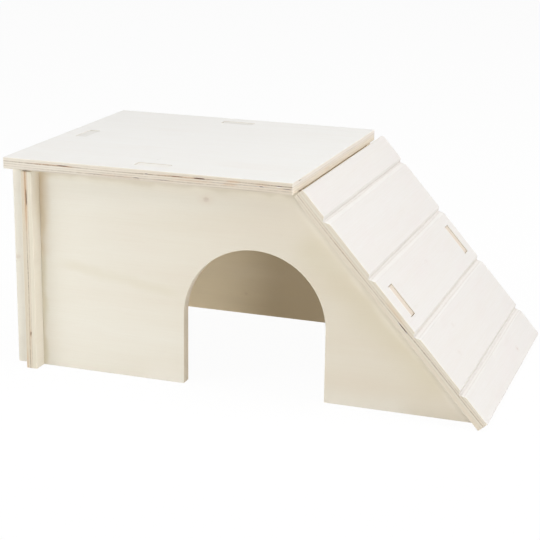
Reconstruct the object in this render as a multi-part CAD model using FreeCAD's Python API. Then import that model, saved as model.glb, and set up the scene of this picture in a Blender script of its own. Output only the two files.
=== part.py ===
import FreeCAD, Part
import math
import os

# A plug-together plywood house for a hamster: two long walls, one side wall that crosses
# them, a flat roof and a grooved ramp. X runs along the front, Y to the back, Z up. The
# origin is on the floor, under the middle of the whole footprint, ramp included.

# Driving sizes, in millimetres and degrees
ply_thickness = 6.5         # five-ply board, the same sheet for every panel
edge_round = 0.3            # sanded arris along the panel edges

wall_height = 118.0         # long walls, from the floor to the underside of the roof
house_depth = 141.0         # outer face of the front wall to outer face of the back wall
wall_end_setback = 0.2      # left ends of the long walls, in from the roof's left edge

roof_width = 171.5          # roof along X
roof_overhang = 10.4        # roof past the outer face of each long wall

side_wall_inset = 10.3      # outer face of the side wall, in from the roof's left edge
side_wall_setback = 1.1     # ends of the side wall, in from the roof's front and back edges
side_wall_drop = 0.8        # top of the side wall below the roof
lap_clearance = 0.1         # play on each side of a halving slot

door_width = 83.0           # doorway, round-topped
door_spring_height = 41.0   # where the doorway's straight jambs turn into its arch
door_inset = 105.3          # left jamb, in from the roof's left edge

ramp_slope = 48.3           # degrees above the floor
ramp_top_drop = 0.7         # top edge of the ramp's underside, below the roof's underside
ramp_roof_gap = 0.6         # that same edge, out from the roof's right edge
groove_count = 4            # cross grooves that give the ramp its foothold
groove_pitch = 38.6
groove_width = 5.0          # V-shaped, measured on the ramp's top face
groove_depth = 2.1
groove_lean = 0.8           # point of the V, up the slope from the groove's middle

tenon_length = 20.0         # every tenon, along its wall's edge
mortise_clearance = 0.2     # play on each side of a tenon in its mortise
roof_tenon_recess = 0.2     # tenon ends below the roof's top face
ramp_tenon_recess = 0.4     # tenon ends below the ramp's top face

overcut = 1.0               # how far cutters run past the faces they cut
tenon_root = 2 * edge_round  # how far a tenon reaches into its own panel, past the arris

# Worked out from the driving sizes
slope = math.radians(ramp_slope)
ramp_length = (wall_height - ramp_top_drop) / math.sin(slope)
ramp_run = ramp_length * math.cos(slope)
toe_rounding = edge_round * (math.sin(slope) + math.cos(slope) - 1)
toe_reach = ply_thickness * math.sin(slope) - toe_rounding
overall_length = roof_width + ramp_roof_gap + ramp_run + toe_reach
roof_left = -overall_length / 2
roof_right = roof_left + roof_width
roof_depth = house_depth + 2 * roof_overhang
wall_left = roof_left + wall_end_setback
side_wall_left = roof_left + side_wall_inset
door_left = roof_left + door_inset
door_right = door_left + door_width
front_wall_y = -house_depth / 2
back_wall_y = house_depth / 2 - ply_thickness
lap_height = wall_height / 2
ramp_top_x = roof_right + ramp_roof_gap
ramp_foot_x = ramp_top_x + ramp_run
wall_top_right = ramp_foot_x - wall_height / math.tan(slope)
roof_tenon_x = (roof_left + roof_right) / 2


def block(x, y, z, length, depth, height):
    """Plain box from its lowest corner."""
    return Part.makeBox(length, depth, height, FreeCAD.Vector(x, y, z))


def on_ramp(shape):
    """Lay a shape on the ramp: x runs down the slope, z stands square to it."""
    top = FreeCAD.Vector(ramp_top_x, 0, wall_height - ramp_top_drop)
    turn = FreeCAD.Rotation(FreeCAD.Vector(0, 1, 0), ramp_slope)
    shape.Placement = FreeCAD.Placement(top, turn).multiply(shape.Placement)
    return shape


def upright(x, z):
    """Point on the front face of an upright board."""
    return FreeCAD.Vector(x, 0, z)


def lines(points):
    """Straight edges through the points, in their order."""
    return [Part.makeLine(start, end) for start, end in zip(points, points[1:])]


def long_wall_outline(has_door):
    """Closed outline of a long wall without its tenons, with or without the doorway."""
    left_foot = upright(wall_left, 0)
    right_foot = upright(ramp_foot_x, 0)
    edges = lines([right_foot, upright(wall_top_right, wall_height),
                   upright(wall_left, wall_height), left_foot])
    if not has_door:
        return Part.Wire(edges + lines([left_foot, right_foot]))
    left_spring = upright(door_left, door_spring_height)
    crown = upright(door_left + door_width / 2, door_spring_height + door_width / 2)
    right_spring = upright(door_right, door_spring_height)
    edges += lines([left_foot, upright(door_left, 0), left_spring])
    edges.append(Part.Arc(left_spring, crown, right_spring).toShape())
    edges += lines([right_spring, upright(door_right, 0), right_foot])
    return Part.Wire(edges)


def upright_board(outline):
    """Board of one thickness behind an outline, with a sanded arris round both faces."""
    board = Part.Face(outline).extrude(FreeCAD.Vector(0, ply_thickness, 0))
    face_edges = [edge for edge in board.Edges if edge.Vertexes[0].Y == edge.Vertexes[1].Y]
    return board.makeFillet(edge_round, face_edges)


def long_wall(y, has_door):
    """Front or back wall: sloping right end, tenons for the roof and the ramp, lap slot."""
    board = upright_board(long_wall_outline(has_door))
    roof_tenon = block(roof_tenon_x - tenon_length / 2, 0, wall_height - tenon_root,
                       tenon_length, ply_thickness,
                       tenon_root + ply_thickness - roof_tenon_recess)
    ramp_tenon = on_ramp(block(ramp_length / 2 - tenon_length / 2, 0, -tenon_root,
                               tenon_length, ply_thickness,
                               tenon_root + ply_thickness - ramp_tenon_recess))
    lap_slot = block(side_wall_left - lap_clearance, -overcut, lap_height,
                     ply_thickness + 2 * lap_clearance, ply_thickness + 2 * overcut,
                     wall_height - lap_height + overcut)
    board = board.fuse([roof_tenon, ramp_tenon]).removeSplitter().cut(lap_slot)
    board.translate(FreeCAD.Vector(0, y, 0))
    return board


def side_wall():
    """Left wall: crosses both long walls in halving slots and carries one roof tenon."""
    half_depth = roof_depth / 2 - side_wall_setback
    height = wall_height - side_wall_drop
    board = block(side_wall_left, -half_depth, 0, ply_thickness, 2 * half_depth, height)
    board = board.makeFillet(edge_round, board.Edges)
    tenon = block(side_wall_left, -tenon_length / 2, height - tenon_root, ply_thickness,
                  tenon_length, tenon_root + side_wall_drop + ply_thickness - roof_tenon_recess)
    board = board.fuse(tenon).removeSplitter()
    for wall_y in (front_wall_y, back_wall_y):
        slot = block(side_wall_left - overcut, wall_y - lap_clearance, -overcut,
                     ply_thickness + 2 * overcut, ply_thickness + 2 * lap_clearance,
                     lap_height + overcut)
        board = board.cut(slot)
    return board


def roof_panel():
    """Flat roof with a through mortise for each of the three walls."""
    board = block(roof_left, -roof_depth / 2, wall_height, roof_width, roof_depth, ply_thickness)
    board = board.makeFillet(edge_round, board.Edges)
    long_side = tenon_length + 2 * mortise_clearance
    short_side = ply_thickness + 2 * mortise_clearance
    cutter_height = ply_thickness + 2 * overcut
    for wall_y in (front_wall_y, back_wall_y):
        board = board.cut(block(roof_tenon_x - long_side / 2, wall_y - mortise_clearance,
                                wall_height - overcut, long_side, short_side, cutter_height))
    return board.cut(block(side_wall_left - mortise_clearance, -long_side / 2,
                           wall_height - overcut, short_side, long_side, cutter_height))


def groove_cutter(x):
    """V-shaped bar that cuts one groove across the ramp, its middle at x."""
    start = -roof_depth / 2 - overcut
    bottom = FreeCAD.Vector(x - groove_lean, start, ply_thickness - groove_depth)
    past_face = (groove_depth + overcut) / groove_depth
    sides = [FreeCAD.Vector(x + side * groove_width / 2, start, ply_thickness)
             for side in (-1, 1)]
    high, low = [bottom + (side - bottom) * past_face for side in sides]
    section = Part.Face(Part.makePolygon([bottom, high, low, bottom]))
    return section.extrude(FreeCAD.Vector(0, roof_depth + 2 * overcut, 0))


def ramp_panel():
    """Sloping board, grooved across its top, with a through mortise for each long wall."""
    board = block(0, -roof_depth / 2, 0, ramp_length, roof_depth, ply_thickness)
    board = board.makeFillet(edge_round, board.Edges)
    for index in range(groove_count):
        groove_x = ramp_length / 2 + (index - (groove_count - 1) / 2) * groove_pitch
        board = board.cut(groove_cutter(groove_x))
    long_side = tenon_length + 2 * mortise_clearance
    for wall_y in (front_wall_y, back_wall_y):
        board = board.cut(block(ramp_length / 2 - long_side / 2, wall_y - mortise_clearance,
                                -overcut, long_side, ply_thickness + 2 * mortise_clearance,
                                ply_thickness + 2 * overcut))
    return on_ramp(board)


panels = {
    "front_wall": long_wall(front_wall_y, True),
    "back_wall": long_wall(back_wall_y, False),
    "side_wall": side_wall(),
    "roof_panel": roof_panel(),
    "ramp_panel": ramp_panel(),
}

os.makedirs("parts", exist_ok=True)
for name, shape in panels.items():
    shape.exportStep("parts/" + name + ".step")
    box = shape.BoundBox
    print(name, "solids", len(shape.Solids), "valid", shape.isValid(),
          "volume %.0f mm3" % shape.Volume,
          "size %.1f x %.1f x %.1f mm" % (box.XLength, box.YLength, box.ZLength))
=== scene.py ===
import math

import bpy
import numpy as np
from mathutils import Matrix, Vector
from mathutils.geometry import delaunay_2d_cdt


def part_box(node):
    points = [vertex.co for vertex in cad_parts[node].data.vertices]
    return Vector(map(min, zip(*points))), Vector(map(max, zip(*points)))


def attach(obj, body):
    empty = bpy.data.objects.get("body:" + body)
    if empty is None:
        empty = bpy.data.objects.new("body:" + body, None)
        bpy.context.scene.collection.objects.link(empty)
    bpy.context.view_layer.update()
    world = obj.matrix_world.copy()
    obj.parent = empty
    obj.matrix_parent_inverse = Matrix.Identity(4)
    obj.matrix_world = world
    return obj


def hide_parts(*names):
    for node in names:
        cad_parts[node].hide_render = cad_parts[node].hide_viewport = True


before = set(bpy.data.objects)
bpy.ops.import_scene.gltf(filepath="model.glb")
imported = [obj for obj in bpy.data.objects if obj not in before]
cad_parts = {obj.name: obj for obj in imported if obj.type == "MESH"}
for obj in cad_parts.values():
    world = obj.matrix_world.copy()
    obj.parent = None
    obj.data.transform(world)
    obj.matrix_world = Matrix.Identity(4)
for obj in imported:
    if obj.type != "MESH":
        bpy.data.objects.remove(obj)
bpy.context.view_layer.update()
print("frame loaded:", sorted(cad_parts))

# All board sizes below are in millimetres. Every board has its own axes: u along the grain of
# its faces, v across it, w up through the thickness from the lower face.
millimetre = 0.001

# The sheet that every board is cut from
sheet = {
    "thickness": 6.5,
    "glueLines": [1.2, 2.6, 3.95, 5.35],  # heights of the four glue lines
    "wander": ((0.14, 0.043, 0.061, 1.0), (0.06, 0.131, -0.112, 2.3)),  # their slow waves
    "wanderFade": 0.8,  # the waves die out this near to the faces
    "arris": 0.3,  # sanding along the face edges
    "crispShare": 0.25,  # what mortises and tenons have of it
    "probe": 0.3,  # how far in from the edge a point is tested for sanding
    "rim": 0.15,  # flat ring between a sanded arris and the face
    "easedFrom": 20.0,  # degrees: corners that turn less stay sharp
    "cornerStep": 18.0,  # degrees between the points round a corner
    "sharpAngle": 40.0,  # degrees: folds over this are shaded as sharp
    "pointSpacing": 0.9,  # along an edge
    "cornerGuard": 1.5,  # a straight edge has no points nearer to its corners
    "rowGap": 0.4,  # edge points this near to a groove row give way to it
    "glueRows": (0.24, 0.1, 0.0, -0.1, -0.24),  # edge points about each glue line
    "glueRowGap": 0.1,  # and how far they keep off the arris
    "faceSpacing": 5.0,  # points inside a face
    "faceRowGap": 1.2,  # how far they keep off a groove row
    "faceRimGap": 1.0,  # and off the face's rim
    "crossRecess": 0.02,  # the cross plies sand away a little deeper
    "glueRecess": 0.04,  # and the glue lines stand back
    "glueHalf": 0.07,  # half the width of a glue line, in plies
    "fuzz": 0.02,  # torn fibres
    "voidDepth": 0.9,
    "faceGlue": 0.15,  # strength of the glue lines that a groove lays bare
    "listedReach": 1.5,  # how far from a listed edge chance marks stay
    "upperPly": 4.2,  # heights in plies past which a point counts as on a face
    "lowerPly": 0.8,
}
thickness = sheet["thickness"]


def plyBounds(board):
    return np.array([0.0] + board["glueLines"] + [thickness])


def unit(vectors):
    return vectors / np.linalg.norm(vectors, axis=-1, keepdims=True)


def leftOf(directions):
    return np.stack([-directions[..., 1], directions[..., 0]], axis=-1)


# Outward corners become arcs: each arc touches both sides of its corner, its centre is one
# radius to the left of the first side, and its points turn evenly from one side to the next.
def easeCorners(outline, radius):
    before = unit(outline - np.roll(outline, 1, axis=0))
    after = np.roll(before, -1, axis=0)
    turn = np.arctan2(before[:, 0] * after[:, 1] - before[:, 1] * after[:, 0],
                      (before * after).sum(axis=1))
    rounded = []
    for corner, direction, angle in zip(outline, before, turn):
        if angle < math.radians(sheet["easedFrom"]):
            rounded.append(corner[None])
            continue
        count = int(round(angle / math.radians(sheet["cornerStep"]))) + 1
        steps = np.linspace(0, angle, count)
        normal = leftOf(direction)
        centre = corner - direction * radius * math.tan(angle / 2) + normal * radius
        rounded.append(centre + radius * (np.sin(steps)[:, None] * direction
                                          - np.cos(steps)[:, None] * normal))
    return np.concatenate(rounded)


# Points along a closed outline and the way into the board at each. A corner's way in is the sum
# of its two normals over one plus their dot product, so that an offset outline stays parallel.
def edgePoints(outline, rows):
    ends = np.roll(outline, -1, axis=0)
    lengths = np.linalg.norm(ends - outline, axis=1)
    directions = (ends - outline) / lengths[:, None]
    normals = leftOf(directions)
    previous = np.roll(normals, 1, axis=0)
    mitres = (normals + previous) / (1 + (normals * previous).sum(axis=1, keepdims=True))
    guard = sheet["cornerGuard"]
    points, inward = [], []
    for i, length in enumerate(lengths):
        points.append(outline[i][None])
        inward.append(mitres[i][None])
        if length < 2 * guard + sheet["pointSpacing"]:
            continue
        count = math.ceil((length - 2 * guard) / sheet["pointSpacing"]) + 1
        along = np.linspace(guard, length - guard, count)
        if len(rows) and abs(directions[i, 1]) > 0.999:
            # where the side runs across the grooves it takes a point at every groove row
            wanted = (rows - outline[i, 1]) * directions[i, 1]
            wanted = wanted[(wanted > guard) & (wanted < length - guard)]
            apart = np.abs(along[:, None] - wanted).min(axis=1, initial=np.inf)
            along = np.sort(np.concatenate([along[apart > sheet["rowGap"]], wanted]))
        points.append(outline[i] + along[:, None] * directions[i])
        inward.append(np.repeat(normals[i][None], len(along), axis=0))
    return np.concatenate(points), np.concatenate(inward)


# The share of the arris that each edge point gets. Mortises and tenons are cut after sanding:
# their points are the ones that lie outside the sanded part even when moved inwards a little.
def arrisShare(points, inward, board, isHole):
    if isHole:
        return np.full(len(points), sheet["crispShare"])
    sanded = insideLoops(points + sheet["probe"] * inward, [np.array(board["sanded"], float)])
    return np.where(sanded, 1.0, sheet["crispShare"])


# The board's section at its edge, from the upper face over the arris, down the plies and round
# to the lower face: how far each point stands in from the outline, and its height.
def edgeProfile(board):
    arris = sheet["arris"]
    turn = np.radians([0, 22.5, 45, 67.5, 90])
    topIn = np.concatenate([[arris + sheet["rim"]], arris * (1 - np.sin(turn))])
    topHeight = np.concatenate([[thickness], thickness - arris * (1 - np.cos(turn))])
    nearGlue = (np.array(board["glueLines"])[:, None] + sheet["glueRows"]).ravel()
    middles = (plyBounds(board)[:-1] + plyBounds(board)[1:]) / 2
    sides = np.concatenate([nearGlue, middles[1:-1]])
    gap = sheet["glueRowGap"]
    sides = np.sort(sides[(sides > arris + gap) & (sides < thickness - arris - gap)])[::-1]
    inset = np.concatenate([topIn, np.zeros(len(sides)), topIn[::-1]])
    height = np.concatenate([topHeight, sides, thickness - topHeight[::-1]])
    return inset, height


# Height in plies: 0 on the lower face, 5 on the upper one, whole at each glue line. The glue
# lines wander by two slow sine waves that cross the board at different slants, and by the
# board's own bow across its grain.
def plyHeight(u, v, w, board):
    waves = sum(size * np.sin(uRate * u + vRate * v + phase * board["seed"])
                for size, uRate, vRate, phase in sheet["wander"])
    wander = waves - np.interp(v, *zip(*board["lineBow"]))
    inside = np.clip(np.minimum(w, thickness - w) / sheet["wanderFade"], 0, 1)
    return np.interp(w + wander * inside, plyBounds(board), np.arange(6.0))


# A mark is a flattened bump: its strength falls off with the fourth power of the distance
# along the edge and the square of the height away from its middle, which two sine waves make
# ragged.
def markStrength(u, v, w, marks):
    strength = np.zeros(np.broadcast(u, v, w).shape)
    for markU, markV, half, height, halfHeight, peak in marks:
        along = np.hypot(u - markU, v - markV) / half
        ragged = 0.25 * np.sin(2.1 * (u + v) + markU) + 0.15 * np.sin(5.3 * (u - v) + markV)
        across = (w - height - 0.3 * halfHeight * ragged) / halfHeight
        strength = np.maximum(strength, peak * np.exp(-along ** 4 - across ** 2))
    return strength


# How far the upper face lies under the sheet's: each cross groove is a leaning V, and the far
# end is rounded over as a quarter circle.
def faceDrop(v, board):
    drop = np.zeros(np.shape(v))
    half, lean = house["grooveWidth"] / 2, house["grooveLean"]
    for middle in board["grooves"]:
        drop = np.maximum(drop, np.interp(v, [middle - half, middle + lean, middle + half],
                                          [0, house["grooveDepth"], 0]))
    if board["endRound"]:
        radius = board["endRound"]
        past = np.clip(v - board["outline"][2][1] + radius, 0, radius)
        drop = np.maximum(drop, radius - np.sqrt(radius ** 2 - past ** 2))
    return drop


# True where a point lies inside an odd number of the loops, by counting the sides that a line
# from the point towards +u crosses.
def insideLoops(points, loops):
    pointU, pointV = points[:, :1], points[:, 1:]
    crossings = np.zeros(len(points), int)
    for loop in loops:
        (u, v), (endU, endV) = loop.T, np.roll(loop, -1, axis=0).T
        rise = np.where(endV == v, 1e-12, endV - v)
        spans = (v > pointV) != (endV > pointV)
        at = u + (pointV - v) / rise * (endU - u)
        crossings += (spans & (pointU < at)).sum(axis=1)
    return crossings % 2 == 1


# Points inside a face on straight rows, none close to the face's rim
def facePoints(loops, rows):
    rim = np.concatenate(loops)
    us, vs = (np.linspace(low, high, int((high - low) / sheet["faceSpacing"]) + 2)[1:-1]
              for low, high in zip(rim.min(axis=0), rim.max(axis=0)))
    if len(rows):
        apart = np.abs(vs[:, None] - rows).min(axis=1)
        vs = np.sort(np.concatenate([vs[apart > sheet["faceRowGap"]], rows]))
    grid = np.stack(np.meshgrid(us, vs), axis=-1).reshape(-1, 2)
    grid = grid[insideLoops(grid, loops)]
    gap = np.hypot(grid[:, :1] - rim[:, 0], grid[:, 1:] - rim[:, 1]).min(axis=1)
    return grid[gap > sheet["faceRimGap"]]


# Triangles that fill a face between its loops, all turned the same way
def fillFace(loops, inner):
    points = np.concatenate(loops + [inner])
    starts = np.cumsum([0] + [len(loop) for loop in loops])
    sides = [np.stack([np.arange(a, b), np.roll(np.arange(a, b), -1)], axis=1)
             for a, b in zip(starts[:-1], starts[1:])]
    made = delaunay_2d_cdt([Vector(point) for point in points.tolist()],
                           np.concatenate(sides).tolist(), [], 0, 1e-7, True)
    if len(made[0]) != len(points):
        raise ValueError("the rim of a face crosses itself")
    triangles = np.array(made[2])
    corners = points[triangles]
    triangles = triangles[insideLoops(corners.mean(axis=1), loops)]
    corners = points[triangles]
    first, second = corners[:, 1] - corners[:, 0], corners[:, 2] - corners[:, 0]
    backwards = first[:, 0] * second[:, 1] - first[:, 1] * second[:, 0] < 0
    triangles[backwards] = triangles[backwards][:, ::-1]
    return triangles


def boardMatrix(board):
    along, across = Vector(board["along"]), Vector(board["across"])
    turn = Matrix((along, across, along.cross(across))).transposed()
    return Matrix.Translation(Vector(board["corner"]) * millimetre) @ turn.to_4x4()


# Distances along v at which a grooved board takes points: close together where the sides of a
# groove begin, meet and end, and once where the far end starts to round over
def grooveRows(board):
    if not board["grooves"]:
        return np.array([])
    half, lean = house["grooveWidth"] / 2, house["grooveLean"]
    offsets = np.array([-half - 0.4, -half - 0.1, -half + 0.1, -half + 0.4,
                        (lean - half) / 2, lean - 0.3, lean - 0.08, lean + 0.08, lean + 0.3,
                        (lean + half) / 2, half - 0.3, half - 0.1, half + 0.1, half + 0.4])
    rows = np.sort((np.array(board["grooves"])[:, None] + offsets).ravel())
    return np.append(rows, board["outline"][2][1] - board["endRound"] * 1.05)


# Voids and stains that come by chance: half length, height, half height and strength, each
# between two values. A void lies at the height of a glue line.
chanceSpans = (((0.6, 3.0), None, (0.08, 0.2), (0.3, 0.9)),
               ((3.0, 14.0), (1.2, 4.8), (0.2, 0.6), (0.2, 0.6)))


# Marks at random edge points, but not on the edge whose own marks are all listed
def chanceMarks(spans, count, points, board, random):
    free = np.flatnonzero(points[:, board["listedEdge"]] > sheet["listedReach"])
    return [(*points[i], *(random.uniform(*span) if span else random.choice(board["glueLines"])
                           for span in spans))
            for i in random.choice(free, count)]


def addObject(name, data):
    made = bpy.data.objects.new(name, data)
    bpy.context.scene.collection.objects.link(made)
    return made


# A board is its section carried round each outline, closed by a filled face above and below.
# The section stands back where a ply, a glue line or a void does, and only ever inwards.
def makeBoard(name, board):
    random = np.random.default_rng(board["seed"])
    rows = grooveRows(board)
    outlines = [easeCorners(np.array(board["outline"], float), board["cornerRadius"])]
    outlines += board["mortises"]
    inset, height = edgeProfile(board)
    onSide = inset == 0
    upper = height > thickness / 2
    places, quads, triangles = [], [], []
    layers = {"plyHeight": [], "glueStrength": [], "hollow": [], "stain": []}

    def keep(place, *values):
        places.append(place.reshape(-1, 3))
        for layer, value in zip(layers.values(), values):
            layer.append(value.ravel())

    faces = [(True, [], []), (False, [], [])]  # is it the upper one, its loops, their indices
    start = 0
    for outline in outlines:
        points, inward = edgePoints(outline, rows)
        share = arrisShare(points, inward, board, outline is not outlines[0])[:, None]
        share = np.where(upper & (share == 1), board["upperArris"], share)
        nearFace = np.minimum(height, thickness - height) * share
        section = np.where(onSide, height, np.where(upper, thickness - nearFace, nearFace))
        voids, stains = (chanceMarks(spans, count, points, board, random)
                         for spans, count in zip(chanceSpans, board["chance"]))
        u = points[:, :1] + inset * share * inward[:, :1]
        v = points[:, 1:] + inset * share * inward[:, 1:]
        w = section * (thickness - faceDrop(v, board)) / thickness
        ply = plyHeight(u, v, w, board)
        hollow = markStrength(u, v, w, board["voids"] + voids)
        # a height of 0 or 5 is a face and no glue line
        fromLine = np.where((ply > 0.5) & (ply < 4.5), np.abs(ply - np.round(ply)), 1.0)
        cross = np.floor(np.clip(ply, 0, 4.999)) % 2
        recess = (sheet["crossRecess"] * cross
                  + sheet["glueRecess"] * np.exp(-(fromLine / sheet["glueHalf"]) ** 2)
                  + sheet["fuzz"] * random.random(ply.shape)
                  + sheet["voidDepth"] * hollow)
        u = u + recess * onSide * inward[:, :1]
        v = v + recess * onSide * inward[:, 1:]
        # each glue line is stronger and weaker along the edge by a slow sine wave
        strength = np.interp(ply, [1, 2, 3, 4], board["glueStrength"])
        strength = strength * (0.75 + 0.25 * np.sin(0.09 * u + 0.11 * v + 4 * np.round(ply)))
        keep(np.stack([u, v, w], axis=-1), ply, strength, hollow * onSide,
             markStrength(u, v, w, board["stains"] + stains))
        index = start + np.arange(w.size).reshape(w.shape)
        ahead = np.roll(index, -1, axis=0)
        quads.append(np.stack([index[:, :-1], index[:, 1:], ahead[:, 1:], ahead[:, :-1]],
                              axis=-1).reshape(-1, 4))
        for isUpper, loops, indices in faces:
            at = 0 if isUpper else -1
            loops.append(np.stack([u[:, at], v[:, at]], axis=1))
            indices.append(index[:, at])
        start += w.size
    for isUpper, loops, indices in faces:
        inner = facePoints(loops, rows if isUpper else np.array([]))
        w = thickness - faceDrop(inner[:, 1], board) if isUpper else np.zeros(len(inner))
        none = np.zeros(len(inner))
        keep(np.column_stack([inner, w]), plyHeight(*inner.T, w, board),
             none + sheet["faceGlue"], none, none)
        index = np.concatenate(indices + [start + np.arange(len(inner))])
        filled = index[fillFace(loops, inner)]
        triangles.append(filled if isUpper else filled[:, ::-1])
        start += len(inner)
    matrix = np.array(boardMatrix(board))
    places = np.concatenate(places) * millimetre @ matrix[:3, :3].T + matrix[:3, 3]
    mesh = bpy.data.meshes.new(name)
    mesh.from_pydata(places.tolist(), [], np.concatenate(quads).tolist()
                     + np.concatenate(triangles).tolist())
    for attribute, values in layers.items():
        layer = mesh.attributes.new(attribute, "FLOAT", "POINT")
        layer.data.foreach_set("value", np.concatenate(values).astype(np.float32))
    mesh.shade_smooth()
    mesh.set_sharp_from_angle(angle=math.radians(sheet["sharpAngle"]))
    piece = addObject(name, mesh)
    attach(piece, board["body"])
    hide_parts(board["node"])
    print(name, "points", len(mesh.vertices), "triangles",
          sum(len(part) for part in quads) * 2 + sum(len(part) for part in triangles))
    return piece


# Empties the node tree of a material or world and gives the helper that fills it: it makes a
# node, sets its fields, and links or sets its inputs. A node as an input is its first output.
def nodeMaker(owner):
    owner.use_nodes = True
    tree = owner.node_tree
    tree.nodes.clear()

    def make(kind, inputs=None, **fields):
        node = tree.nodes.new("ShaderNode" + kind)
        for field, value in fields.items():
            setattr(node, field, value)
        for key, value in (inputs or {}).items():
            if isinstance(value, bpy.types.Node):
                value = value.outputs[0]
            if isinstance(value, bpy.types.NodeSocket):
                tree.links.new(value, node.inputs[key])
            else:
                node.inputs[key].default_value = value
        return node
    return make


# Noise in the wood: scales along and across the grain, then detail and roughness
grain = {
    "fibre": (0.035, 1.5, 4.0, 0.62),
    "bands": (0.005, 0.055, 3.0, 0.5),
    "mottle": (0.022, 0.05, 3.0, 0.55),
    "pores": (0.4, 4.5, 2.0, 0.5),
    "bow": (0.006, 0.02, 1.0, 0.5),  # the slow bends of the growth rings
    "plyStep": 13.7,  # how far apart in the noise two plies are
    "boardStep": 5.1,  # and two seeds
}

# A knot, with its distances in radii: where each part begins and where it is at its full
knotShape = {
    "stretch": 1.5,  # longer along the grain
    "ragged": 0.9,  # how far its rim wavers, in all
    "halo": (2.6, 0.4),
    "haloShare": 0.45,  # of the knot's strength
    "core": (1.0, 0.25),
    "bend": (4.0, 0.5),  # the grain that bends round it
    "bendShare": -0.6,
}

streakShape = {
    "waver": 6.0,  # how far it strays from its line, in all
    "fade": (-4.0, 10.0),  # where it comes up, from either end
}

# Slant is 1 on a face and 0 on an edge
edgeShape = {
    "offFace": (0.985, 0.9),  # slants
    "offEdge": (0.3, 0.6),
    "arris": (2.3, 2.6),  # heights from the middle of the board
    "lowArrisShade": (1.0, 0.5),  # heights from its lower face
    "glueLine": (0.34, 0.08),  # distances from a glue line, in plies
}


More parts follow.
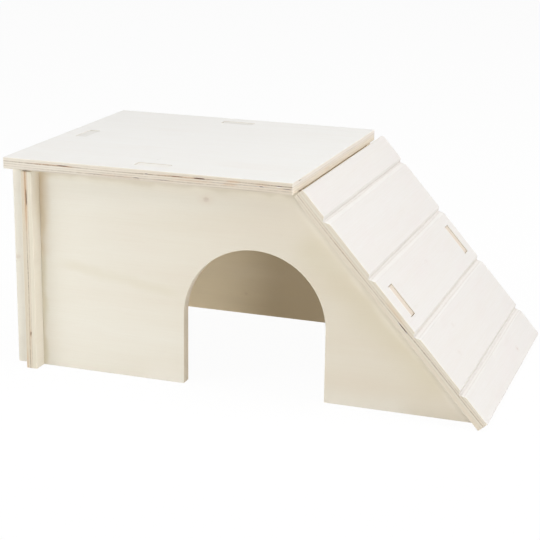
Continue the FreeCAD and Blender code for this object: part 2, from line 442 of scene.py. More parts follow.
# Bare sanded plywood. It reads the board's own axes from Object coordinates, and the height in
# plies, the glue, the voids and the stains from the mesh's attributes.
def plywoodFinish(name, board):
    look = board["look"]
    material = bpy.data.materials.new(name)
    make = nodeMaker(material)

    def calc(operation, *values):
        return make("Math", dict(enumerate(values)), operation=operation).outputs[0]

    def times(value, *others):
        for other in others:
            value = calc("MULTIPLY", value, other)
        return value

    def joinUp(x, y, z):
        return make("CombineXYZ", {0: x, 1: y, 2: z}).outputs[0]

    def dot(vector, other):
        return make("VectorMath", {0: vector, 1: other}, operation="DOT_PRODUCT").outputs["Value"]

    def noise(vector, detail, roughness):
        return make("TexNoise", {"Vector": vector, "Scale": 1.0, "Detail": detail,
                                 "Roughness": roughness}).outputs["Fac"]

    def ramp(value, low, high, start=0.0, end=1.0):
        return make("MapRange", {"Value": value, "From Min": low, "From Max": high,
                                 "To Min": start, "To Max": end},
                    interpolation_type="SMOOTHSTEP").outputs[0]

    def asColour(value):
        return value if isinstance(value, bpy.types.NodeSocket) else (*value, 1.0)

    def blend(amount, base, over):
        return make("Mix", {0: amount, 6: asColour(base), 7: asColour(over)},
                    data_type="RGBA").outputs[2]

    def attribute(label):
        return make("Attribute", attribute_name=label).outputs["Fac"]

    matrix = boardMatrix(board)
    turn = matrix.to_euler()
    coordinates = make("TexCoord")
    onBoard = make("Mapping", {
        "Vector": coordinates.outputs["Object"], "Location": matrix.translation,
        "Rotation": turn, "Scale": (millimetre,) * 3}, vector_type="TEXTURE").outputs[0]
    facing = make("Mapping", {"Vector": coordinates.outputs["Normal"], "Rotation": turn},
                  vector_type="TEXTURE").outputs[0]
    u, v, w = make("SeparateXYZ", {0: onBoard}).outputs
    facingU, facingV, facingW = make("SeparateXYZ", {0: facing}).outputs
    uShare, vShare, slant = (calc("ABSOLUTE", part) for part in (facingU, facingV, facingW))

    def blotches(scale, third, detail, roughness):
        return noise(joinUp(times(u, scale), times(v, scale), third), detail, roughness)

    ply = attribute("plyHeight")
    nearestLine = calc("ROUND", ply)
    onUpper = calc("GREATER_THAN", ply, sheet["upperPly"])
    onLower = calc("LESS_THAN", ply, sheet["lowerPly"])
    layer = calc("FLOOR", calc("MINIMUM", ply, 4.999))
    cross = calc("MODULO", layer, 2.0)
    straight = calc("SUBTRACT", 1.0, cross)
    swap = make("Mix", {0: cross, 4: onBoard, 5: joinUp(v, u, w)}, data_type="VECTOR").outputs[1]
    along, side, _ = make("SeparateXYZ", {0: swap}).outputs
    layerShift = calc("MULTIPLY_ADD", layer, grain["plyStep"], board["seed"] * grain["boardStep"])

    # the grain bends round each knot: the side coordinate is drawn in towards its middle
    knotHalo = knotCore = 0.0
    for knotU, knotV, radius, peak, upper in board["knots"]:
        off = calc("SUBTRACT", v, knotV)
        outward = joinUp(calc("DIVIDE", calc("SUBTRACT", u, knotU),
                              radius * knotShape["stretch"]), calc("DIVIDE", off, radius), 0.0)
        ragged = knotShape["ragged"]
        reach = calc("ADD", make("VectorMath", {0: outward}, operation="LENGTH").outputs["Value"],
                     calc("MULTIPLY_ADD", blotches(0.45, knotU, 2.0, 0.5), ragged, -ragged / 2))
        onFace = onUpper if upper else onLower
        halo = ramp(reach, *knotShape["halo"], 0.0, peak * knotShape["haloShare"])
        core = ramp(reach, *knotShape["core"], 0.0, peak)
        knotHalo = calc("MAXIMUM", knotHalo, times(halo, onFace))
        knotCore = calc("MAXIMUM", knotCore, times(core, onFace))
        bend = times(off, ramp(reach, *knotShape["bend"], 0.0, knotShape["bendShare"]))
        side = calc("MULTIPLY_ADD", bend, straight, side)

    def woodNoise(kind, third):
        alongScale, sideScale, detail, roughness = grain[kind]
        return noise(joinUp(times(along, alongScale), times(side, sideScale), third),
                     detail, roughness)

    depthRun = calc("MULTIPLY_ADD", w, 1.7, layerShift)
    fibre = woodNoise("fibre", depthRun)
    pores = woodNoise("pores", depthRun)
    bands = woodNoise("bands", layerShift)
    mottle = woodNoise("mottle", calc("ADD", layerShift, 4.0))
    rings = calc("SINE", calc("MULTIPLY_ADD", woodNoise("bow", layerShift), 26.0,
                              times(side, 0.5)))

    driftFrom, driftTo, drift = look["drift"]
    turned = calc("ADD", ramp(u, driftFrom, driftTo, -0.5 * drift, 0.5 * drift),
                  calc("MULTIPLY_ADD", bands, 0.4, 0.3))
    colour = blend(ramp(turned, 0.2, 0.8), look["pale"], look["warm"])
    for value, low, high, amount, tone in (
            (mottle, 0.45, 0.75, "blushAmount", "blush"), (rings, 0.2, 1.0, "ringAmount", "ring"),
            (fibre, 0.35, 0.75, "fibreAmount", "fibre"),
            (pores, 0.62, 0.78, "poreAmount", "fibre")):
        colour = blend(ramp(value, low, high, 0.0, look[amount]), colour, look[tone])

    # faint streaks in a face, each a soft line between two points: some are discoloured wood,
    # others painted shade and painted light
    for startU, startV, endU, endV, width, peak, tone in board["faceStreaksAndPaintedShading"]:
        run = math.hypot(endU - startU, endV - startV)
        ahead = ((endU - startU) / run, (endV - startV) / run)
        fromStart = joinUp(calc("SUBTRACT", u, startU), calc("SUBTRACT", v, startV), 0.0)
        alongRun = dot(fromStart, (*ahead, 0.0))
        off = dot(fromStart, (-ahead[1], ahead[0], 0.0))
        waver, (fadeFrom, fadeTo) = streakShape["waver"], streakShape["fade"]
        off = calc("ABSOLUTE", calc("MULTIPLY_ADD", blotches(0.06, startU, 2.0, 0.5), waver,
                                    calc("ADD", off, -waver / 2)))
        ends = times(ramp(alongRun, fadeFrom, fadeTo),
                     ramp(alongRun, run - fadeFrom, run - fadeTo))
        colour = blend(times(ramp(off, width, 0.0, 0.0, peak), ends, onUpper), colour, tone)

    growth = calc("SINE", times(side, 3.0))
    colour = blend(knotHalo, colour, look["knotHalo"])
    colour = blend(times(knotCore, ramp(growth, -1.5, 1.0, 0.7, 1.0)), colour, look["knot"])

    # the arrises show creamier wood, and the sawn edges are warmer than the sanded faces. An
    # edge across the grain has its own pair of colours, from its lower side to its upper one.
    fromMiddle = calc("ABSOLUTE", calc("SUBTRACT", w, thickness / 2))
    offEdge = ramp(slant, *edgeShape["offEdge"])
    onArris = times(ramp(slant, *edgeShape["offFace"]), offEdge,
                    ramp(fromMiddle, *edgeShape["arris"]))
    if board["grooves"]:
        # not on the sides of the grooves, which face along v only
        onArris = times(onArris, ramp(uShare, 0.1, 0.3))
    # painted shade on the arris round the board's lower face
    lowArrisShade = times(onArris, ramp(w, *edgeShape["lowArrisShade"], 0.0, look["lowArrisShadeAmount"]))
    onEdge = ramp(slant, *edgeShape["offEdge"][::-1])
    acrossGrain = ramp(uShare, 0.5, 0.8)
    edgeTurn = calc("ADD", mottle, ramp(u, 0.0, 170.0, -0.5 * look["edgeDrift"],
                                        0.5 * look["edgeDrift"]))
    edgeTone = blend(edgeTurn, look["edgePale"], look["edgeWarm"])
    endTone = blend(ramp(w, 0.5, 6.0), look["endWarm"], look["endPale"])
    edgeTone = blend(acrossGrain, edgeTone, endTone)
    tilt = calc("MULTIPLY_ADD", ply, 0.2 * look["edgeTilt"], 1.0 - 0.5 * look["edgeTilt"])
    edgeTone = make("VectorMath", {0: edgeTone, "Scale": tilt}, operation="SCALE").outputs[0]
    colour = blend(times(onArris, look["arrisAmount"]), colour, look["arris"])
    colour = blend(times(onEdge, look["edgeAmount"]), colour, edgeTone)
    colour = blend(lowArrisShade, colour, look["lowArrisShade"])

    # each groove's lower side is painted lighter, a painted highlight where it tilts up to the
    # light, and painted shade lies along its bottom
    if board["grooves"]:
        lowerSide = times(ramp(facingV, 0.3, 0.45), offEdge,
                          calc("LESS_THAN", v, max(board["grooves"]) + house["grooveWidth"]))
        colour = blend(times(lowerSide, look["cutAmount"]), colour, look["cut"])
        bottom = thickness - house["grooveDepth"]
        valleyShade = times(ramp(w, bottom + 0.55, bottom, 0.0, look["valleyShadeAmount"]),
                       ramp(facingW, 0.3, 0.6))
        colour = blend(valleyShade, colour, look["valleyShade"])

    # end grain is darker and mottled: it shows where the face's normal runs along the ply's grain
    endwise = calc("ADD", times(uShare, straight), times(vShare, cross))
    ends = blotches(1.6, times(w, 2.4), 3.0, 0.6)
    endShare = times(ramp(endwise, 0.4, 0.95), ramp(ends, 0.25, 0.7, 0.35, 1.0))
    colour = blend(times(endShare, look["endAmount"]), colour, look["endGrain"])

    # patchy glue lines between the plies, stains and voids
    fromLine = calc("ABSOLUTE", calc("SUBTRACT", ply, nearestLine))
    inner = times(calc("GREATER_THAN", ply, 0.5), calc("LESS_THAN", ply, 4.5))
    patchy = blotches(0.35, times(nearestLine, 9.0), 3.0, 0.6)
    lines = times(ramp(fromLine, *edgeShape["glueLine"]), inner)
    lines = times(lines, times(attribute("glueStrength"), ramp(patchy, 0.3, 0.65, 0.45, 1.0)),
                  ramp(acrossGrain, 0.0, 1.0, 1.0, look["endGlue"]))
    colour = blend(lines, colour, look["glue"])
    stain = times(attribute("stain"), ramp(fibre, 0.2, 0.7, 1.0, 0.5))
    colour = blend(stain, colour, look["stain"])
    colour = blend(ramp(attribute("hollow"), 0.08, 0.6), colour, look["void"])

    # tenon ends, sanded with the panel that they come through: what lies past a line. One side of
    # each is painted darker, painted shade of the mortise round it.
    for tenon in board["tenonEnds"]:
        past = dot(onBoard, (*tenon["across"], 0.0))
        paintedSideShade = ramp(w, *tenon["sideFrom"], 0.0, tenon["sideAmount"])
        tone = blend(paintedSideShade, look["flush"], tenon["side"])
        flush = times(calc("GREATER_THAN", past, tenon["past"]), tenon["amount"])
        colour = blend(flush, colour, tone)

    relief = calc("ADD", times(fibre, 0.6), times(pores, -0.5))
    relief = calc("MULTIPLY_ADD", ends, endShare, relief)
    bump = make("Bump", {"Strength": look["bump"], "Distance": look["bumpHeight"],
                         "Height": relief})
    shader = make("BsdfPrincipled", {
        "Base Color": colour, "Roughness": ramp(fibre, 0.2, 0.8, *look["roughness"]),
        "IOR": look["ior"], "Specular IOR Level": look["shine"], "Normal": bump})
    make("OutputMaterial", {"Surface": shader})
    return material


# The looks shared by all five boards, as linear colours
poplar = {
    "pale": (0.83, 0.78, 0.69),
    "warm": (0.80, 0.735, 0.62),
    "drift": (0.0, 280.0, 0.0),  # along u, from and to, and how far pale turns to warm
    "blush": (0.79, 0.69, 0.61),
    "blushAmount": 0.12,
    "ring": (0.72, 0.65, 0.54),
    "ringAmount": 0.03,
    "fibre": (0.68, 0.59, 0.46),
    "fibreAmount": 0.08,
    "poreAmount": 0.12,
    "knotHalo": (0.66, 0.48, 0.38),
    "knot": (0.38, 0.25, 0.18),
    "edgePale": (0.82, 0.76, 0.63),
    "edgeWarm": (0.78, 0.68, 0.54),
    "edgeAmount": 0.85,
    "edgeDrift": 0.0,  # how much of the way an edge turns warmer along u
    "edgeTilt": 0.0,  # how much paler the upper plies are than the lower ones
    "endPale": (0.82, 0.76, 0.63),
    "endWarm": (0.78, 0.68, 0.54),
    "endGlue": 1.0,
    "arris": (0.87, 0.81, 0.69),
    "arrisAmount": 0.5,
    # painted shade on the arris round a board's lower face, which faces down
    "lowArrisShade": (0.50, 0.42, 0.31),
    "lowArrisShadeAmount": 0.0,  # how dark the arris round a board's lower face is
    "flush": (0.86, 0.84, 0.80),  # tenon ends
    # painted highlight on the lower sides of the grooves
    "cut": (0.88, 0.865, 0.83),  # lower sides of the grooves
    "cutAmount": 0.42,
    # painted shade along the bottoms of the grooves
    "valleyShade": (0.66, 0.59, 0.52),
    "valleyShadeAmount": 0.05,
    "endGrain": (0.66, 0.53, 0.40),
    "endAmount": 0.35,
    "glue": (0.32, 0.24, 0.17),
    "stain": (0.60, 0.36, 0.19),
    "void": (0.17, 0.08, 0.035),
    "roughness": (0.55, 0.78),
    "ior": 1.45,
    "shine": 0.3,
    "bump": 0.35,
    "bumpHeight": 0.00012,  # metres
}

_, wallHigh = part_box("front_wall")
_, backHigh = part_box("back_wall")
sideLow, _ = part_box("side_wall")
roofLow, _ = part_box("roof_panel")
rampLow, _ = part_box("ramp_panel")


def inMillimetres(x, y, z):
    return (x / millimetre, y / millimetre, z / millimetre)


# The house's sizes. x runs from the roof's left edge.
house = {
    "wallHeight": 118.0,
    "wallsApart": 141.0,  # over the outer faces of the long walls
    "wallSetback": 0.2,  # left ends of the long walls
    "roofWidth": 171.5,
    "overhang": 10.4,
    "sideInset": 10.3,
    "sideSetback": 1.1,  # ends of the side wall, in from the roof's
    "sideDrop": 0.8,
    "lapPlay": 0.1,
    "doorInset": 105.3,
    "doorWidth": 83.0,
    "doorSpring": 41.0,  # start of the arch
    "slope": math.radians(48.3),
    "rampDrop": 0.7,  # top edge of the ramp's underside, below the roof's
    "rampGap": 0.6,
    "grooveCount": 4,
    "groovePitch": 38.6,
    "grooveWidth": 5.0,
    "grooveDepth": 2.1,
    "grooveLean": 0.8,  # point of each V, up the slope from its middle
    "rampHeadRound": 1.3,  # sanding of the ramp's upper end
    "tenonLength": 20.0,
    "mortisePlay": 0.2,
    "roofTenonRecess": 0.2,
    "rampTenonRecess": 0.4,
    "lapMargin": 1.0,  # left unsanded round the halving slots
}
houseDepth = house["wallsApart"] + 2 * house["overhang"]
rampTop = (house["roofWidth"] + house["rampGap"], house["wallHeight"] - house["rampDrop"])
rampLength = rampTop[1] / math.sin(house["slope"])
rampFoot = rampTop[0] + rampLength * math.cos(house["slope"])
shoulder = rampFoot - house["wallHeight"] / math.tan(house["slope"])


# Corners of a tenon: from its middle on an edge, half its length along the edge to either side,
# and so far out
def tenonCorners(middle, along, out, reach):
    half, far = np.array(along) * house["tenonLength"] / 2, np.array(out) * reach
    return [tuple(middle + part) for part in (half, half + far, far - half, -half)]


# Long walls: outline from the left foot, anticlockwise seen from the front. The sanded part has
# no tenons, and leaves a margin round the slot.
def longWallOutline(hasDoor, isSanded=False):
    down = np.array([math.cos(house["slope"]), -math.sin(house["slope"])])
    rampTenon = tenonCorners(np.array(rampTop) + down * rampLength / 2, down,
                             (-down[1], down[0]), thickness - house["rampTenonRecess"])
    left, height = house["wallSetback"], house["wallHeight"]
    roofTenon = tenonCorners((house["roofWidth"] / 2, height), (1, 0), (0, 1),
                             thickness - house["roofTenonRecess"])
    play = house["lapMargin"] if isSanded else house["lapPlay"]
    slotFrom, slotTo = house["sideInset"] - play, house["sideInset"] + thickness + play
    slotEnd = height / 2 - (play if isSanded else 0)
    points = [(left, 0)]
    if hasDoor:
        jamb, radius = house["doorInset"], house["doorWidth"] / 2
        turn = np.linspace(math.pi, 0, int(math.pi * radius) + 1)
        arch = np.column_stack([jamb + radius + radius * np.cos(turn),
                                house["doorSpring"] + radius * np.sin(turn)])
        points += [(jamb, 0), *map(tuple, arch), (jamb + house["doorWidth"], 0)]
    points += [(rampFoot, 0), *([] if isSanded else rampTenon), (shoulder, height),
               *([] if isSanded else roofTenon), (slotTo, height), (slotTo, slotEnd),
               (slotFrom, slotEnd), (slotFrom, height), (left, height)]
    return points


# Side wall: outline from its front foot, with slots from below over the long walls
def sideWallOutline(margin, hasTenon):
    length = houseDepth - 2 * house["sideSetback"]
    height = house["wallHeight"] - house["sideDrop"]
    near = house["overhang"] - house["sideSetback"] - margin
    far = near + thickness + 2 * margin
    top = house["wallHeight"] / 2 + margin - house["lapPlay"]
    points = [(0, 0), (near, 0), (near, top), (far, top), (far, 0),
              (length - far, 0), (length - far, top), (length - near, top), (length - near, 0),
              (length, 0), (length, height)]
    if hasTenon:
        points += tenonCorners((length / 2, height), (1, 0), (0, 1),
                               house["sideDrop"] + thickness - house["roofTenonRecess"])
    return points + [(0, height)]


# A plain rectangular panel, sanded all over
def rectangle(width, height):
    corners = [(0, 0), (width, 0), (width, height), (0, height)]
    return {"outline": corners, "sanded": corners}


# A mortise round a tenon of one board's thickness, run clockwise: its board lies on its left
def mortiseAt(middleU, middleV, isAlongU):
    halves = (house["tenonLength"] / 2 + house["mortisePlay"],
              thickness / 2 + house["mortisePlay"])
    corners = np.array([(-1, -1), (-1, 1), (1, 1), (1, -1)])
    return (middleU, middleV) + corners * (halves if isAlongU else halves[::-1])


nearWall = house["overhang"] + thickness / 2
farWall = houseDepth - nearWall
sideMiddle = house["sideInset"] + thickness / 2

# What most boards share
plainBoard = {
    "mortises": [],
    "grooves": [],
    "endRound": 0,  # radius of the upper face's far end
    "upperArris": 1.0,  # share of the sheet's arris that the upper face has
    "cornerRadius": 0.5,
    "tenonEnds": [],
    "glueLines": sheet["glueLines"],
    "lineBow": [(0.0, 0.0)],  # v, and how much higher the glue lines lie there
    "listedEdge": 0,  # no chance marks near u = 0, or near v = 0 where this is 1
    "faceStreaksAndPaintedShading": [],
}
longWall = {
    **plainBoard,
    "body": "walls",
    "along": (1, 0, 0),
    "across": (0, 0, 1),
    "sanded": longWallOutline(False, isSanded=True),
}

# Where a wall's tenon ends lie: past a line across the board. Their side of painted shade comes up
# between two heights.
throughRoof = {"across": (0.0, 1.0), "past": house["wallHeight"] + thickness - 1.0,
               "amount": 0.95, "sideFrom": (5.4, 6.3), "sideAmount": 0.6,
               "side": (0.70, 0.69, 0.66)}
throughRamp = {"across": (math.sin(house["slope"]), math.cos(house["slope"])),
               "past": rampFoot * math.sin(house["slope"]) + thickness - 1.2,
               "amount": 0.85, "sideFrom": (5.6, 3.8), "sideAmount": 0.8,
               "side": (0.68, 0.575, 0.48)}

# Voids and stains: u, v, half length, height, half height and strength, and by chance so many
# more of each. Knots: u, v, radius, strength, and whether they are on the upper face. Streaks:
# from u, v to u, v, width, strength and colour. Glue lines: strengths from the lowest up.
frontWall = {
    **longWall,
    "node": "front_wall",
    "corner": inMillimetres(roofLow.x, wallHigh.y, 0),
    "outline": longWallOutline(True),
    "tenonEnds": [throughRoof, throughRamp],
    "seed": 3,
    "glueStrength": [0.25, 0.3, 0.25, 0.2],
    # the second void is painted shade: it sinks and darkens the wall's top at the shoulder, which
    # shows in the shaded gap between the roof and the ramp
    "voids": [(0.5, 31, 1.2, 2.3, 0.2, 0.7), (shoulder, 118, 2, 3.25, 4, 0.4)],
    "stains": [(104.4, 20, 22, 5, 0.8, 0.25)],
    "chance": (8, 6),
    "knots": [(118.6, 108.6, 1.8, 0.32, True), (1.8, 64, 1.6, 0.2, True),
              (206, 88, 1.5, 0.3, False), (60, 34, 2.4, 0.5, False)],
    # a scratch; painted shade beside the side wall, under the roof and beside the ramp; painted
    # light along the foot and along the ramp's lower edge
    "faceStreaksAndPaintedShading": [(28, 63.5, 104, 52, 5, 0.16, (0.62, 0.55, 0.36)),
                    (17.2, -8, 17.2, 128, 4, 0.45, (0.62, 0.55, 0.36)),
                    (17.2, 64, 17.2, 132, 8, 0.5, (0.66, 0.53, 0.37)),
                    (17.2, 92, 17.2, 136, 9, 0.5, (0.64, 0.52, 0.36)),
                    (14, 118.5, 186, 118.5, 8, 0.75, (0.62, 0.56, 0.45)),
                    (14, 115.2, 186, 115.2, 2.2, 0.3, (0.55, 0.49, 0.38)),
                    (172, 92, 258, 15, 20, 0.3, (0.62, 0.55, 0.36)),
                    (80, -2, 238, -2, 18, 0.55, (0.86, 0.83, 0.75)),
                    (169.6, 113.6, 274.1, -3.7, 5, 0.4, (0.86, 0.82, 0.72))],
    # darker and warmer towards the right: partly the wood's own tone, partly painted shade
    "look": dict(poplar, pale=(0.825, 0.80, 0.715), warm=(0.745, 0.68, 0.56),
                 drift=(0.0, 230.0, 0.35)),
}

backWall = {
    **longWall,
    "node": "back_wall",
    "corner": inMillimetres(roofLow.x, backHigh.y, 0),
    "outline": longWallOutline(False),
    "tenonEnds": [dict(throughRoof, sideFrom=(0.0, 1.0)), throughRamp],
    "seed": 11,
    "glueStrength": [0.3, 0.7, 0.4, 0.3],
    "voids": [(275, 0, 3, 3.5, 0.2, 0.8), (40, 0, 6, 2.3, 0.2, 0.8)],
    "stains": [(190, 95, 16, 3, 0.6, 0.6)],
    "chance": (9, 6),
    "knots": [(93.4, 13.5, 1.3, 0.13, True), (70, 86, 2.6, 0.6, False),
              (188, 40, 1.8, 0.45, False), (228, 14, 1.3, 0.5, False)],
    # inside, pale and yellow at the left turning darker and warmer to the right: painted light and
    # shade of the light coming in through the doorway
    "look": dict(poplar, pale=(0.95, 0.83, 0.615), warm=(0.75, 0.63, 0.44),
                 drift=(60.0, 140.0, 0.75)),
}

sideWall = {
    **plainBoard,
    "node": "side_wall",
    "body": "walls",
    "corner": inMillimetres(sideLow.x, sideLow.y, 0),
    "along": (0, 1, 0),
    "across": (0, 0, 1),
    "outline": sideWallOutline(house["lapPlay"], True),
    "sanded": sideWallOutline(house["lapMargin"], False),
    "tenonEnds": [dict(throughRoof, sideFrom=(0.0, 1.0), sideAmount=0.45)],
    "seed": 7,
    "glueStrength": [0.1, 0.9, 0.25, 0.1],
    "voids": [(0, 102, 4.8, 2.9, 0.24, 1), (0, 21.2, 1.4, 3.1, 0.25, 1),
              (0, 30, 24, 2.85, 0.4, 0.19), (0, 106, 14, 2.85, 0.4, 0.19)],
    "stains": [(0, 104, 22, 2.6, 0.8, 0.9), (0, 2, 9, 0.7, 0.45, 0.7),
               (0, 21.2, 2.2, 3.1, 0.5, 0.9), (0, 18, 14, 2.7, 0.4, 0.3)],
    "chance": (7, 6),
    "knots": [(52, 41, 2, 0.5, False), (118, 88, 3, 0.6, False)],
    # painted shade: the side wall's front part darker and yellower towards its top, under the
    # roof's overhang
    "faceStreaksAndPaintedShading": [(9.3, 84, 9.3, 130, 8, 0.4, (0.70, 0.60, 0.42))],
    "look": dict(poplar, pale=(0.86, 0.815, 0.725), warm=(0.825, 0.765, 0.65),
                 endPale=(0.735, 0.69, 0.57), endWarm=(0.70, 0.625, 0.49), endAmount=0.15,
                 edgeTilt=0.12),
}

roofPanel = {
    **plainBoard,
    "node": "roof_panel",
    "body": "roof",
    "corner": inMillimetres(*roofLow),
    "along": (1, 0, 0),
    "across": (0, 1, 0),
    **rectangle(house["roofWidth"], houseDepth),
    "mortises": [mortiseAt(house["roofWidth"] / 2, nearWall, True),
                 mortiseAt(house["roofWidth"] / 2, farWall, True),
                 mortiseAt(sideMiddle, houseDepth / 2, False)],
    "seed": 5,
    "glueLines": [1.6, 2.9, 4.2, 5.6],
    "listedEdge": 1,
    "glueStrength": [0.5, 0.35, 0.95, 0.12],
    # the first three voids sink and darken the roof's lower front arris along its whole length:
    # painted shade where the roof meets the wall's shade below
    "voids": [(85, 0, 100, 0.25, 0.5, 0.22), (30, 0, 28, 0.3, 0.5, 0.28),
              (140, 0, 32, 0.3, 0.5, 0.28), (75, 0, 22, 1.55, 0.28, 0.22),
              (140, 0, 24, 3, 0.3, 0.24), (33, 0, 22, 4.25, 0.35, 0.22),
              (140, 0, 30, 4.1, 0.35, 0.17), (37, 0, 3.6, 4.45, 0.25, 0.7),
              (27, 0, 7, 4.5, 0.22, 0.3), (87.5, 0, 1.1, 4.3, 0.2, 0.6),
              (105, 0, 5, 4.4, 0.22, 0.45), (118.5, 0, 3.4, 4.35, 0.3, 0.85),
              (125, 0, 3.5, 4.35, 0.22, 0.35), (57, 0, 5, 1.6, 0.22, 0.4),
              (71, 0, 4, 1.6, 0.22, 0.4), (81.5, 0, 2, 1.6, 0.25, 0.55),
              (97, 0, 5, 1.7, 0.22, 0.4), (154, 0, 1.4, 3, 0.25, 0.6), (164, 0, 2, 4.1, 0.25, 0.5),
              (168.5, 0, 3, 2.9, 0.25, 0.45)],
    "stains": [(31, 0, 12, 4.35, 0.35, 0.7), (40, 0, 3.5, 4.25, 0.4, 0.8),
               (68, 0, 15, 1.6, 0.25, 0.45), (98, 0, 6, 1.6, 0.25, 0.4),
               (110, 0, 15, 4.35, 0.4, 0.7), (115, 0, 12, 2.9, 0.3, 0.5),
               (138, 0, 3.5, 4.4, 0.5, 0.7), (136, 0, 4, 2.7, 0.8, 0.45),
               (154, 0, 3, 3.9, 0.8, 0.4), (168, 0, 4, 2.8, 0.4, 0.45)],
    "chance": (6, 4),
    "knots": [(82.8, 27.1, 0.5, 0.7, True), (82.8, 30.3, 0.35, 0.5, True),
              (130, 60, 2.2, 0.4, False)],
    # whiter and greyer than the walls' wood: partly its own tone, partly painted light on its lit
    # top. Its long edges are painted darker and its ends across the grain paler: painted shade and
    # painted light
    "look": dict(poplar, pale=(0.86, 0.855, 0.835), warm=(0.845, 0.83, 0.80),
                 blushAmount=0.08, fibreAmount=0.06, ringAmount=0.02,
                 knot=(0.60, 0.58, 0.55), knotHalo=(0.78, 0.77, 0.75),
                 edgePale=(0.765, 0.715, 0.62), edgeWarm=(0.72, 0.63, 0.505), edgeDrift=0.8,
                 edgeTilt=0.06, endPale=(0.87, 0.82, 0.765), endWarm=(0.95, 0.88, 0.76),
                 endAmount=0.12, endGlue=0.3, lowArrisShadeAmount=0.5),
}

rampPanel = {
    **plainBoard,
    "node": "ramp_panel",
    "body": "ramp",
    "corner": (roofLow.x / millimetre + rampFoot, rampLow.y / millimetre, 0),
    "along": (0, 1, 0),
    "across": (-math.cos(house["slope"]), 0, math.sin(house["slope"])),
    **rectangle(houseDepth, rampLength),
    "mortises": [mortiseAt(nearWall, rampLength / 2, False),
                 mortiseAt(farWall, rampLength / 2, False)],
    "grooves": [rampLength / 2 + (i - (house["grooveCount"] - 1) / 2) * house["groovePitch"]
                for i in range(house["grooveCount"])],
    "endRound": house["rampHeadRound"],
    "upperArris": 2.0,
    "cornerRadius": 1.0,
    "seed": 13,
    "lineBow": [(0, 1.2), (27, 1), (42, 0.8), (57, 0.45), (67, 0.1), (97, -0.15), (127, -0.4),
                (157, -0.45)],
    "glueStrength": [0.12, 0.75, 0.3, 0.1],
    "voids": [(0, 67.5, 4, 2.6, 0.22, 0.7), (0, 33, 24, 3.65, 0.25, 0.3),
              (0, 118, 11, 2.2, 0.3, 0.2), (0, 82, 9, 2.4, 0.3, 0.2)],
    "stains": [(0, 76, 8.5, 4.6, 0.8, 0.6), (0, 118, 10, 2.4, 0.2, 0.3)],
    "chance": (5, 5),
    "knots": [(112, 7.4, 1.2, 0.22, True), (33.5, 35.2, 1.8, 0.07, True),
              (51.5, 47.9, 1.6, 0.07, True), (81.5, 83.2, 2, 0.05, True)],
    "look": dict(poplar, pale=(0.785, 0.765, 0.75), warm=(0.775, 0.745, 0.71),
                 blush=(0.775, 0.72, 0.705), blushAmount=0.45, fibreAmount=0.08,
                 endPale=(0.755, 0.70, 0.58), endWarm=(0.72, 0.655, 0.53), endAmount=0.25,
                 edgeTilt=-0.06, stain=(0.70, 0.50, 0.31)),
}

boards = {"frontWallBoard": frontWall, "backWallBoard": backWall, "sideWallBoard": sideWall,
          "roofBoard": roofPanel, "rampBoard": rampPanel}
for name, board in boards.items():
    piece = makeBoard(name, board)
    piece.data.materials.append(plywoodFinish(name.replace("Board", "Ply"), board))
print("boards made")


# Floor and background. The floor is a light table: it glows a little, which fills the house
# through its open bottom.
studio = {
    "floorRadius": 6.0,
    "floorPoints": 96,
    "floorColour": (0.66, 0.66, 0.66, 1.0),
    "floorGlow": 0.30,
    "glowColour": (1.0, 0.96, 0.90, 1.0),
    "white": (1, 1, 1, 1),
    "shadowShare": 0.04,  # how much of the floor's own shade the camera sees
    "worldStrength": 0.05,
    "worldColour": (1.0, 0.985, 0.96, 1.0),
}


# 1 where the camera sees a surface, straight or by gloss or glass, and 0 for all other light
def cameraShare(make):
    path = make("LightPath")
    share = path.outputs["Is Camera Ray"]
    for ray in ("Is Glossy Ray", "Is Transmission Ray"):
        share = make("Math", {0: share, 1: path.outputs[ray]}, operation="MAXIMUM").outputs[0]
    return share


def makeFloor():
    turn = np.linspace(0, 2 * math.pi, studio["floorPoints"], endpoint=False)
    reach = studio["floorRadius"]
    places = np.column_stack([reach * np.cos(turn), reach * np.sin(turn), 0 * turn])
    mesh = bpy.data.meshes.new("floor")
    mesh.from_pydata(places.tolist(), [], [list(range(len(turn)))])
    floor = addObject("floor", mesh)
    material = bpy.data.materials.new("paleFloor")
    make = nodeMaker(material)
    white = make("Emission", {"Color": studio["white"], "Strength": 1.0})
    shaded = make("BsdfDiffuse", {"Color": studio["white"]})
    shown = make("MixShader", {0: studio["shadowShare"], 1: white, 2: shaded})
    plain = make("BsdfDiffuse", {"Color": studio["floorColour"]})
    glow = make("Emission", {"Color": studio["glowColour"], "Strength": studio["floorGlow"]})
    lit = make("AddShader", {0: plain, 1: glow})
    mixed = make("MixShader", {0: cameraShare(make), 1: lit, 2: shown})
    make("OutputMaterial", {"Surface": mixed})
    mesh.materials.append(material)


def makeWorld():
    world = bpy.data.worlds.new("studio")
    make = nodeMaker(world)
    ambient = make("Background", {"Color": studio["worldColour"],
                                  "Strength": studio["worldStrength"]})
    white = make("Background", {"Color": studio["white"], "Strength": 1.0})
    mixed = make("MixShader", {0: cameraShare(make), 1: ambient, 2: white})
    make("OutputWorld", {"Surface": mixed})
    bpy.context.scene.world = world


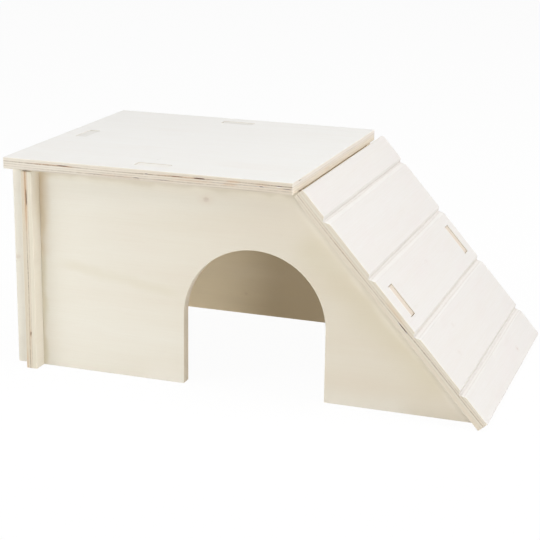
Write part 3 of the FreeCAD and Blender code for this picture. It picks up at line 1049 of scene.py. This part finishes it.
# Square lamps, all turned towards the middle of the house
lampAim = Vector((0, 0, 0.06))
lamps = {
    "keyLamp": {"place": (-0.75, -0.60, 0.70), "size": 0.4, "power": 2.9},
    "topLamp": {"place": (0.2, 0.1, 2.0), "size": 1.5, "power": 10.0},
    "wideLamp": {"place": (0.0, -0.3, 1.6), "size": 1.8, "power": 12.0},
    "rightLamp": {"place": (1.0, -0.05, 0.75), "size": 0.7, "power": 7.0},
    "nearLamp": {"place": (-0.30, -0.55, 0.06), "size": 0.30, "power": 0.75},
    "doorLamp": {"place": (0.94, -1.294, 0.12), "size": 0.35, "power": 5.3},
}


def makeLamps():
    for name, lamp in lamps.items():
        data = bpy.data.lights.new(name, "AREA")
        data.shape = "SQUARE"
        data.size = lamp["size"]
        data.energy = lamp["power"]
        light = addObject(name, data)
        light.location = lamp["place"]
        aim = lampAim - Vector(lamp["place"])
        light.rotation_euler = aim.to_track_quat("-Z", "Y").to_euler()


makeFloor()
makeWorld()
makeLamps()
print("studio made")

# Angles in degrees, target and distance in millimetres
view = {
    "lens": 99.932,
    "sensor": 36.0,
    "azimuth": 18.982,
    "elevation": 16.232,
    "roll": 0.816,
    "target": (0.175, -26.654, 59.12),
    "distance": 864.322,
}


def makeCamera():
    azimuth, elevation, roll = (math.radians(view[key])
                                for key in ("azimuth", "elevation", "roll"))
    back = Vector((math.sin(azimuth) * math.cos(elevation),
                   -math.cos(azimuth) * math.cos(elevation), math.sin(elevation)))
    right = (-back).cross(Vector((0, 0, 1))).normalized()
    up = right.cross(-back)
    rightRolled = right * math.cos(roll) + up * math.sin(roll)
    upRolled = up * math.cos(roll) - right * math.sin(roll)
    data = bpy.data.cameras.new("camera")
    data.lens = view["lens"]
    data.sensor_width = view["sensor"]
    camera = addObject("camera", data)
    turn = Matrix((rightRolled, upRolled, back)).transposed().to_4x4()
    place = (Vector(view["target"]) + back * view["distance"]) * millimetre
    camera.matrix_world = Matrix.Translation(place) @ turn
    bpy.context.scene.camera = camera


makeCamera()
bpy.context.scene.view_settings.view_transform = "Standard"
print("camera made")
